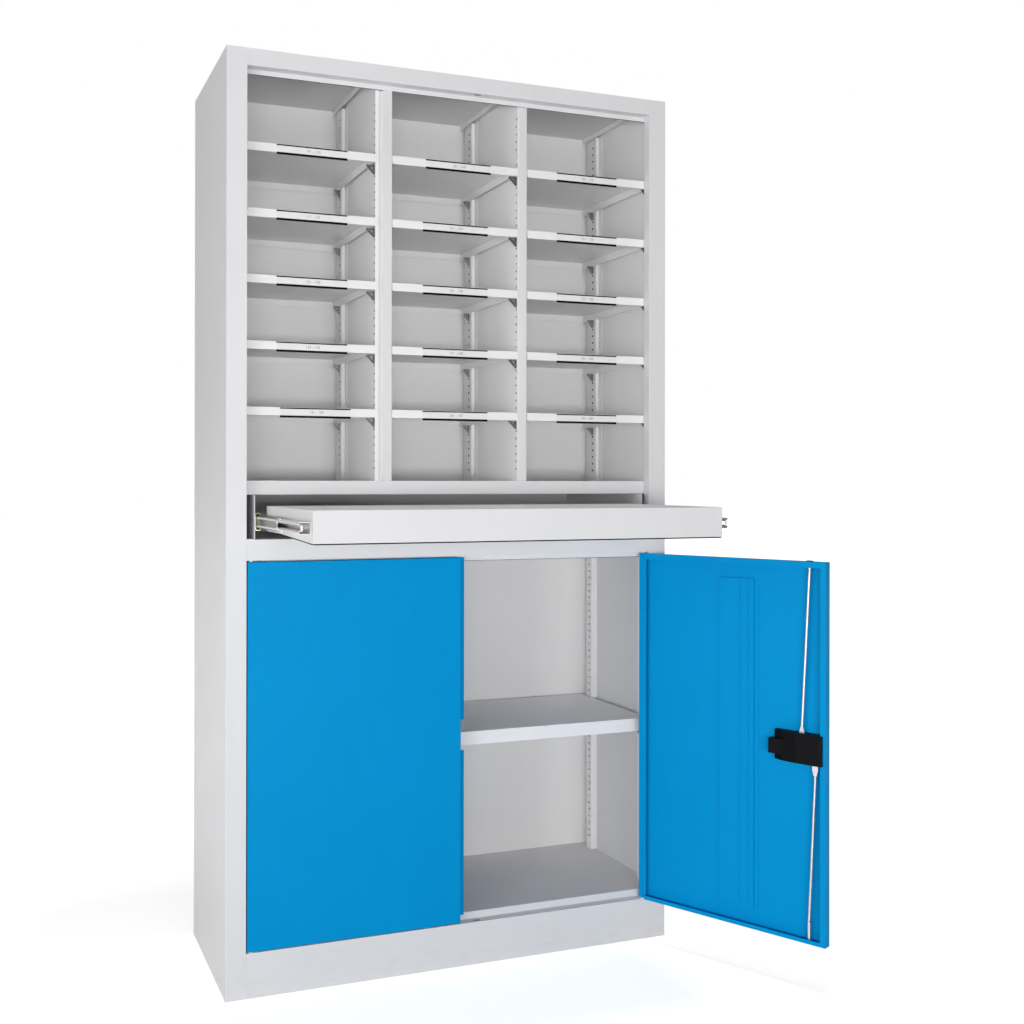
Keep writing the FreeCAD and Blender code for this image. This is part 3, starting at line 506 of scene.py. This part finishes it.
def folded(name):
    """Copy of a sheet node with its outside corners bent round instead of sharp."""
    bm = bmesh.new()
    bm.from_mesh(NODES[name].data)
    bmesh.ops.remove_doubles(bm, verts=bm.verts, dist=0.00001)
    bmesh.ops.dissolve_limit(bm, angle_limit=math.radians(1.0), use_dissolve_boundaries=False,
                             verts=bm.verts, edges=bm.edges)
    soften(bm, [edge for edge in bm.edges if is_bend(edge)], BEND_RADIUS, 4)
    piece(name + "_folded", bm, BODY_OF[name], finish_of(name), (name,))


for name in NODES:
    if "_shelf_" in name or name in FOLDED_SHEETS:
        folded(name)


# label holders and numbers ------------------------------------------------------------

SHELF_ROWS = 5
SHELF_LEVEL = 1765.7
SHELF_PITCH = 137.5
HOLDER_DROP = 0.7
HOLDER_REACH = 76.5         # half of a holder's width
SHELF_FACE = -174.9
UPPER_LIP = (-176.9, 2.5)   # front, and height
LOWER_LIP = (-177.3, 20.9, 16.4)    # front, lowest and highest level below the holder's top
LABEL_NUDGE = {("left", 5): 8.0, ("middle", 1): 7.0}
LABEL_CENTRES = {"left": -327.7, "middle": -3.6, "right": 320.3}
NUMBER_SIZE = 8.0
NUMBER_DROP = 10.0
NUMBER_SHIFT = 2.0


def label_places():
    """Bay, row, middle and shelf level of each label, bay by bay from the top."""
    for bay, across in LABEL_CENTRES.items():
        for row in range(SHELF_ROWS):
            centre = across + LABEL_NUDGE.get((bay, row + 1), 0.0)
            yield bay, row, centre, SHELF_LEVEL - SHELF_PITCH * row


def label_rails():
    """Upper and lower lip of each holder, between which the card is pushed."""
    bm = bmesh.new()
    upper_front, upper_height = UPPER_LIP
    lower_front, lower_foot, lower_head = LOWER_LIP
    for _, _, centre, level in label_places():
        x0 = centre - HOLDER_REACH
        x1 = centre + HOLDER_REACH
        top = level - HOLDER_DROP
        bar(bm, (x0, upper_front, top - upper_height), (x1, SHELF_FACE, top), 0.4)
        bar(bm, (x0, lower_front, top - lower_foot), (x1, SHELF_FACE, top - lower_head), 0.5)
    piece("label_rails", bm, "cabinet", BLACK_PLASTIC,
          ("label_holders",))


def number_mesh(words):
    """Flat mesh of a few characters, centred on the origin."""
    text = bpy.data.curves.new("number", "FONT")
    text.body = words
    text.size = NUMBER_SIZE * MM
    text.align_x = "CENTER"
    text.align_y = "CENTER"
    holder = bpy.data.objects.new("number", text)
    bpy.context.scene.collection.objects.link(holder)
    flat = bpy.data.meshes.new_from_object(holder)
    bpy.data.objects.remove(holder)
    bpy.data.curves.remove(text)
    return flat


def label_numbers():
    """Small grey numbers printed on the label cards."""
    bm = bmesh.new()
    face_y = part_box("label_cards")[0][1] / MM - 0.05
    columns = list(LABEL_CENTRES)
    for bay, row, centre, level in label_places():
        first = 100 * (columns.index(bay) + 1) + 10 * row + 1
        flat = number_mesh("%d - %d" % (first, first + 9))
        place = Vector((centre + NUMBER_SHIFT, face_y, level - NUMBER_DROP)) * MM
        flat.transform(Matrix.Translation(place) @ Matrix.Rotation(math.pi / 2.0, 4, "X"))
        bm.from_mesh(flat)
        bpy.data.meshes.remove(flat)
    mesh = bpy.data.meshes.new("label_numbers")
    bm.to_mesh(mesh)
    bm.free()
    mesh.materials.append(INK)
    made = bpy.data.objects.new("label_numbers", mesh)
    bpy.context.scene.collection.objects.link(made)
    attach(made, "cabinet")


label_rails()
label_numbers()


# painted shadow lines under two hems --------------------------------------------------------

HEADER_LIP_Y = -176.0
HEM_SHADOW_HEIGHT = 0.8


def painted_hem_shadows():
    """Thin black strip drawn under the hem of the door header's lip and of the top inner rail: a
    painted shadow line for the shade under each hem.
    """
    bm = bmesh.new()
    for name in ("door_header_rail", "top_inner_rail"):
        low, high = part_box(name)
        x = high[0] / MM - 0.5
        z = low[2] / MM
        y = HEADER_LIP_Y if name == "door_header_rail" else low[1] / MM
        bar(bm, (-x, y + 0.1, z - 0.1 - HEM_SHADOW_HEIGHT), (x, y + 0.1 + HEM_SHADOW_HEIGHT, z), 0.15)
    piece("painted_hem_shadows", bm, "cabinet", SHADE_BLACK)


painted_hem_shadows()


# painted shade: black strips behind the perforations -----------------------------------

BAYS = {"left": (-489.5, -181.0), "middle": (-150.0, 148.0), "right": (170.0, 489.5)}
SLOT_COLUMNS = {"left": 28.5, "middle": 9.3, "right": 9.3}
DEEP_COLUMN = 100.0
UPRIGHT_COLUMN = 103.0
BEHIND_WALL = 2.2           # from the wall's inner face to the shade strip, away from the bay
BEHIND_UPRIGHT = 7.0        # from the wall's inner face to the shade strip, into the bay
SHADE_STRIP = 0.8
SHADE_STRIP_AHEAD = 7.0
SHADE_STRIP_BEHIND = 18.0
SHADE_STRIP_FOOT = 1066.0
SHADE_STRIP_HEAD = 1932.0


def painted_slot_shade():
    """Black strips behind each column of slots, in the bay walls and in the rear uprights: painted
    shade, so the slots read as dark holes.
    """
    bm = bmesh.new()
    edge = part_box("left_bay_right_wall")[0][1] / MM
    for bay, (left, right) in BAYS.items():
        for wall, out, column in ((left, -1.0, DEEP_COLUMN), (right, 1.0, SLOT_COLUMNS[bay])):
            for away, y in ((BEHIND_WALL, edge + column), (-BEHIND_UPRIGHT, UPRIGHT_COLUMN)):
                near = wall + out * away
                far = near + math.copysign(SHADE_STRIP, out * away)
                bar(bm, (min(near, far), y - SHADE_STRIP_AHEAD, SHADE_STRIP_FOOT),
                    (max(near, far), y + SHADE_STRIP_BEHIND, SHADE_STRIP_HEAD), 0.2)
    piece("painted_slot_shade", bm, "cabinet", SHADE_BLACK)


painted_slot_shade()


# telescopic slides of the worktop -----------------------------------------------------------

SLIDE_Z = 977.0
SLIDE_X = -452.5            # the bracket's face, which the outer member is fixed to
OUTER_ENDS = (-197.0, 173.0)
MIDDLE_ENDS = (-381.5, -11.5)
INNER_ENDS = (-554.0, -193.0)

# upper half of each member's section, outwards from the bracket and up from the centre line
OUTER_SECTION = [(9.0, 12.8), (11.0, 13.8), (11.4, 16.2), (9.6, 17.9), (3.0, 17.9), (0.8, 15.9)]
MIDDLE_SECTION = [(9.6, 7.6), (10.4, 9.4), (9.4, 12.6), (7.4, 13.8), (5.2, 12.6), (4.4, 9.8),
                  (4.0, 7.6)]
INNER_SECTION = [(10.6, 4.6), (6.6, 5.8), (4.4, 7.4), (4.6, 9.4), (7.0, 10.0), (24.0, 10.0),
                 (25.4, 8.0)]
HOOK_RISE = 5.4


def slide_line(points):
    """Half profile of a slide member, above the slide's centre line, made whole."""
    upper = [(SLIDE_X + x, SLIDE_Z + z) for x, z in points]
    lower = [(SLIDE_X + x, SLIDE_Z - z) for x, z in reversed(points)]
    return upper + lower


def slide_rivets(bm, across, radius, places):
    """Rivet heads along the middle of a member's web."""
    for y in places:
        pin(bm, (SLIDE_X + across, y, SLIDE_Z), (1, 0, 0), radius, 1.6, 0.5, 16)


def slide_members():
    """The three members of both slides, each rolled from strip, and the inner one's hooks."""
    bm = bmesh.new()
    rolled(bm, slide_line(OUTER_SECTION), *OUTER_ENDS, 1.2)
    slide_rivets(bm, 1.0, 4.0, (-188.0, -60.0, 80.0))
    mirrored(bm)
    piece("slide_outer_rails", bm, "cabinet", YELLOW_ZINC,
          ("slide_outer_members",))

    bm = bmesh.new()
    rolled(bm, slide_line(MIDDLE_SECTION), *MIDDLE_ENDS, 1.2)
    mirrored(bm)
    piece("slide_middle_rails", bm, "slide_middle", DULL_ZINC,
          ("slide_middle_members",))

    bm = bmesh.new()
    rolled(bm, slide_line(INNER_SECTION), *INNER_ENDS, 1.0)
    slide_rivets(bm, 23.4, 3.0, (-530.0, -350.0, -225.0))
    mirrored(bm)
    piece("slide_inner_rails", bm, "worktop", SLIDE_ZINC,
          ("slide_inner_members",))

    bm = bmesh.new()
    bar(bm, (SLIDE_X + 7.0, INNER_ENDS[0] - 1.6, SLIDE_Z - HOOK_RISE),
        (SLIDE_X + 11.0, INNER_ENDS[0] - 0.2, SLIDE_Z + HOOK_RISE), 0.5)
    mirrored(bm)
    piece("slide_front_hooks", bm, "worktop", SLIDE_ZINC)


BALL_LEVEL = 11.8           # above and below the centre line
BALL_RADIUS = 1.8
BALL_PITCH = 15.0
CAGE_BALLS = 6
CAGE_ENDS = (-410.0, -320.0)
STOP_ENDS = (-391.0, -381.6)


def slide_cages():
    """Ball cages between the members, with a stop at the middle member's front end."""
    bm = bmesh.new()
    for level in (SLIDE_Z - BALL_LEVEL, SLIDE_Z + BALL_LEVEL):
        bar(bm, (SLIDE_X + 5.6, CAGE_ENDS[0], level - 0.9),
            (SLIDE_X + 8.6, CAGE_ENDS[1], level + 0.9), 0.4)
        for step in range(CAGE_BALLS):
            place = along_y(SLIDE_X + 7.0, level, CAGE_ENDS[0] + 6.0 + BALL_PITCH * step)
            bmesh.ops.create_uvsphere(bm, u_segments=12, v_segments=8, radius=BALL_RADIUS * MM,
                                      matrix=Matrix.Translation(place))
    mirrored(bm)
    piece("slide_ball_cages", bm, "slide_middle", BALL_STEEL,
          (), 40)

    bm = bmesh.new()
    for side in (-1.0, 1.0):
        for x0, x1, near, far in ((4.2, 9.4, 10.8, 13.4), (1.4, 4.0, 2.6, 7.0)):
            z0, z1 = sorted((SLIDE_Z + side * near, SLIDE_Z + side * far))
            bar(bm, (SLIDE_X + x0, STOP_ENDS[0], z0), (SLIDE_X + x1, STOP_ENDS[1], z1), 0.9)
    mirrored(bm)
    piece("slide_stops", bm, "slide_middle", BUSH_PLASTIC, (), 40)


slide_members()
slide_cages()


# lower edge of the worktop's side, from the front back: level, then rising, then level
SIDE_EDGE = [(-564.0, 949.4), (-557.0, 949.4), (-307.0, 957.4), (-187.0, 957.4)]
SIDE_SHADOW_HEIGHT = 1.7
SIDE_INNER, SIDE_OUTER = 422.4, 426.0


def worktop_painted_shadow():
    """Thin black strip along the lower edge of the worktop's front and sides: a painted shadow line
    for the shade just under that edge.
    """
    bm = bmesh.new()
    bar(bm, (-424.5, -568.8, 947.2), (424.5, -565.4, 949.5), 0.6)
    under = [(y, z - SIDE_SHADOW_HEIGHT) for y, z in reversed(SIDE_EDGE)]
    drawn_out(bm, SIDE_EDGE + under, -SIDE_OUTER, -SIDE_INNER, along_x)
    drawn_out(bm, SIDE_EDGE + under, SIDE_INNER, SIDE_OUTER, along_x)
    piece("worktop_painted_shadow", bm, "worktop", SHADE_BLACK)


worktop_painted_shadow()


# lock in the right door -----------------------------------------------------------------------

LOCK_X = -414.0
LOCK_Z = 502.0
COVER_X = (-449.0, -337.0)
COVER_REACH = 31.5          # half of the cover's height
COVER_FACE = 22.0
SCREW_X = (-440.0, -398.0)
SCREW_REACH = 23.5


def lock_cover():
    """Cover over the cam inside the door, with its tongue and four screw heads."""
    bm = bmesh.new()
    x0, x1 = COVER_X
    outline = [(x0, 14.2), (x0, 20.0), (x0 + 4.0, COVER_FACE), (x1 - 55.0, COVER_FACE),
               (x1 - 24.0, 17.5), (x1, 8.5), (x1, -4.9), (x0 + 6.8, -4.9), (x0 + 6.8, 14.2)]
    drawn_out(bm, outline, LOCK_Z - COVER_REACH, LOCK_Z + COVER_REACH, along_z)
    bmesh.ops.recalc_face_normals(bm, faces=bm.faces)
    edges = [edge for edge in bm.edges if edge.is_convex and edge.calc_length() > 0.004
             and edge.verts[0].co.y + edge.verts[1].co.y > 0.016]
    soften(bm, edges, 0.8)
    bar(bm, (-362.0, 2.0, LOCK_Z - 19.0), (-327.0, 18.4, LOCK_Z + 13.5), 1.0)
    bar(bm, (-360.0, 17.0, LOCK_Z - 13.0), (-352.0, 19.2, LOCK_Z + 7.5), 0.8)
    for z in (LOCK_Z - SCREW_REACH, LOCK_Z + SCREW_REACH):
        for x in SCREW_X:
            pin(bm, (x, COVER_FACE - 0.4, z), (0, 1, 0), 3.2, 0.9, 0.3, 20)
    door_piece("lock_cover", bm, "right_door", BLACK_PLASTIC,
               ("lock_housing",))


# outlines of the turned parts, as heights out from the door and radii
ROSETTE = [(0.0, 8.2), (0.0, 21.0), (1.4, 21.0), (2.6, 19.4), (3.0, 17.8), (3.0, 8.2), (0.0, 8.2)]
KNOB = [(0.0, 0.0), (0.0, 6.5), (11.5, 6.5), (11.5, 15.6), (12.6, 17.0), (18.6, 17.0),
        (21.0, 14.4), (21.4, 0.0)]
CYLINDER = [(0.0, 0.0), (0.0, 5.2), (0.4, 5.2), (0.7, 4.8), (0.7, 0.0)]


def knob_and_rosette():
    """Rosette on the door's face, the knob with its grip, and the lock cylinder in the grip."""
    out = (0, -1, 0)
    bm = bmesh.new()
    turned(bm, (LOCK_X, -6.0, LOCK_Z), out, ROSETTE, 48)
    door_piece("lock_rosette_ring", bm, "right_door", BLACK_PLASTIC,
               ("lock_rosette",), 35)
    bm = bmesh.new()
    turned(bm, (LOCK_X, 1.9, LOCK_Z), out, KNOB, 48)
    bar(bm, (LOCK_X - 23.0, -31.4, LOCK_Z - 6.0), (LOCK_X + 23.0, -14.4, LOCK_Z + 6.0), 4.4, 4)
    door_piece("lock_knob_grip", bm, "lock", BLACK_PLASTIC,
               ("lock_knob",), 35)
    bm = bmesh.new()
    turned(bm, (LOCK_X, -31.2, LOCK_Z), out, CYLINDER, 32)
    door_piece("lock_cylinder", bm, "lock", BALL_STEEL, (), 35)
    bm = bmesh.new()
    # The keyway is drawn as a thin black bar on the cylinder's face: painted shade that stands for
    # the slot.
    bar(bm, (LOCK_X - 3.4, -32.1, LOCK_Z - 0.5), (LOCK_X + 3.4, -31.6, LOCK_Z + 0.5), 0.15)
    door_piece("lock_keyway_shade", bm, "lock", BLACK_PLASTIC)


CAM_THROW = 15.0
ROD_X = -415.5              # at the end that leaves the door
ROD_Y = 6.0
ROD_RADIUS = 3.0
# per rod: where the round part starts, where it straightens, its end, and the end's radius
UPPER_ROD = (LOCK_Z + 44.0, 875.4, 897.4, 3.0)
LOWER_ROD = (LOCK_Z - 56.0, 141.6, 93.6, 3.6)


def lock_rod_piece(name, node, body, up):
    """Round rod, leaning a little, with its flattened end under the lock cover."""
    bm = bmesh.new()
    near = LOCK_X + up * CAM_THROW
    z_near, z_bend, z_end, tip = UPPER_ROD if up > 0 else LOWER_ROD
    start = Vector((near, ROD_Y, z_near))
    bend = Vector((ROD_X, ROD_Y, z_bend))
    lean = bend - start
    pin(bm, start, lean, ROD_RADIUS, lean.length, 0.2, 20)
    pin(bm, bend, (0, 0, up), tip, abs(z_end - z_bend), 1.4, 20)
    z_foot = LOCK_Z + up * 14.0
    z_wide = z_near - up * 14.0
    blade = [(near - 4.5, z_foot), (near + 4.5, z_foot), (near + 6.6, z_wide),
             (near + 2.9, z_near), (near - 2.9, z_near), (near - 6.6, z_wide)]
    drawn_out(bm, blade, ROD_Y - 1.5, ROD_Y + 1.5, along_y)
    door_piece(name, bm, body, ROD_ZINC, (node,), 40)


def rod_guides():
    """Dark plastic guides where the rods leave the door."""
    bm = bmesh.new()
    bar(bm, (-422.2, 1.6, 894.0), (-408.8, 10.4, 896.2), 0.7)
    bar(bm, (-421.2, 2.2, 885.0), (-409.8, 9.8, 894.4), 0.6)
    bar(bm, (-421.2, 2.2, 95.2), (-409.8, 9.8, 100.6), 0.6)
    door_piece("rod_guides", bm, "right_door", BLACK_PLASTIC)


lock_cover()
knob_and_rosette()
lock_rod_piece("upper_rod_bar", "upper_lock_rod", "upper_rod", 1)
lock_rod_piece("lower_rod_bar", "lower_lock_rod", "lower_rod", -1)
rod_guides()


# stage, lamps and camera -------------------------------------------------------------

FLOOR_LIFT = 0.66           # glow near the cabinet, where its shadow has to show
SHADOW_REACH = (0.9, 1.8)   # metres from the middle, between which the glow rises to 1


def stage_floor():
    """Pale floor that shows white to the camera wherever nothing shades it."""
    bm = bmesh.new()
    bmesh.ops.create_grid(bm, x_segments=1, y_segments=1, size=30.0)
    mesh = bpy.data.meshes.new("floor")
    bm.to_mesh(mesh)
    bm.free()
    floor = bpy.data.objects.new("floor", mesh)
    bpy.context.scene.collection.objects.link(floor)
    material, tree, shader = new_material("floor_white")
    shader.inputs["Base Color"].default_value = (0.8, 0.8, 0.8, 1.0)
    shader.inputs["Roughness"].default_value = 0.9
    shader.inputs["Specular IOR Level"].default_value = 0.0
    place = tree.nodes.new("ShaderNodeTexCoord")
    away = tree.nodes.new("ShaderNodeVectorMath")
    away.operation = "LENGTH"
    tree.links.new(place.outputs["Object"], away.inputs[0])
    lift = tree.nodes.new("ShaderNodeEmission")
    lift.inputs["Color"].default_value = (1.0, 1.0, 1.0, 1.0)
    tree.links.new(spread(tree, away.outputs["Value"], *SHADOW_REACH, FLOOR_LIFT, 1.0),
                   lift.inputs["Strength"])
    both = tree.nodes.new("ShaderNodeAddShader")
    tree.links.new(shader.outputs["BSDF"], both.inputs[0])
    tree.links.new(lift.outputs["Emission"], both.inputs[1])
    rays = tree.nodes.new("ShaderNodeLightPath")
    seen = tree.nodes.new("ShaderNodeMath")
    seen.operation = "MAXIMUM"
    tree.links.new(rays.outputs["Is Camera Ray"], seen.inputs[0])
    tree.links.new(rays.outputs["Is Glossy Ray"], seen.inputs[1])
    choice = tree.nodes.new("ShaderNodeMixShader")
    tree.links.new(seen.outputs["Value"], choice.inputs["Fac"])
    tree.links.new(shader.outputs["BSDF"], choice.inputs[1])
    tree.links.new(both.outputs["Shader"], choice.inputs[2])
    tree.links.new(choice.outputs["Shader"], tree.nodes["Material Output"].inputs["Surface"])
    mesh.materials.append(material)


def studio_world(strength):
    """White behind the object, and an even dimmer white for its light."""
    world = bpy.data.worlds.new("studio")
    bpy.context.scene.world = world
    world.use_nodes = True
    tree = world.node_tree
    fill = tree.nodes["Background"]
    fill.inputs["Color"].default_value = (1.0, 1.0, 1.0, 1.0)
    fill.inputs["Strength"].default_value = strength
    white = tree.nodes.new("ShaderNodeBackground")
    white.inputs["Color"].default_value = (1.0, 1.0, 1.0, 1.0)
    white.inputs["Strength"].default_value = 1.0
    rays = tree.nodes.new("ShaderNodeLightPath")
    choice = tree.nodes.new("ShaderNodeMixShader")
    tree.links.new(rays.outputs["Is Camera Ray"], choice.inputs["Fac"])
    tree.links.new(fill.outputs["Background"], choice.inputs[1])
    tree.links.new(white.outputs["Background"], choice.inputs[2])
    tree.links.new(choice.outputs["Shader"], tree.nodes["World Output"].inputs["Surface"])


def softbox(name, place, target, width, height, level):
    """Area lamp that gives the target about level times a white diffuse surface's brightness."""
    light = bpy.data.lights.new(name, "AREA")
    light.shape = "RECTANGLE"
    light.size = width
    light.size_y = height
    reach = (Vector(target) - Vector(place))
    light.energy = level * math.pi ** 2 * reach.length_squared
    lamp = bpy.data.objects.new(name, light)
    lamp.location = place
    lamp.rotation_mode = "QUATERNION"
    lamp.rotation_quaternion = reach.to_track_quat("-Z", "Y")
    bpy.context.scene.collection.objects.link(lamp)


IMAGE_SIDE = 1024.0
SENSOR = 36.0
FOCAL_PIXELS = 1215.534
CENTRE_X = 455.276
CENTRE_Y = 478.272
EYE = Vector((-0.96930, -2.67589, 1.06422))
YAW = 0.36869
PITCH = -0.00133
ROLL = 0.00155


def studio_camera():
    data = bpy.data.cameras.new("camera")
    data.sensor_width = SENSOR
    data.lens = FOCAL_PIXELS * SENSOR / IMAGE_SIDE
    data.shift_x = (IMAGE_SIDE / 2.0 - CENTRE_X) / IMAGE_SIDE
    data.shift_y = (CENTRE_Y - IMAGE_SIDE / 2.0) / IMAGE_SIDE
    camera = bpy.data.objects.new("camera", data)
    camera.location = EYE
    camera.rotation_euler = (math.pi / 2.0 - PITCH, -ROLL, -YAW)
    bpy.context.scene.collection.objects.link(camera)
    bpy.context.scene.camera = camera


stage_floor()
studio_world(0.24)
CHEST = (0.0, 0.0, 1.05)
softbox("front_box", (-0.9, -4.9, 0.8), CHEST, 2.6, 0.5, 0.35)
softbox("quarter_box", (-3.9, -3.3, 0.9), CHEST, 1.8, 0.8, 0.245)
softbox("left_box", (-5.0, -1.0, 1.3), CHEST, 2.2, 2.2, 0.17)
softbox("top_box", (0.5, -0.6, 5.5), (0.5, -0.5, 0.0), 0.6, 0.6, 0.20)
studio_camera()

view = bpy.context.scene.view_settings
view.view_transform = "Standard"
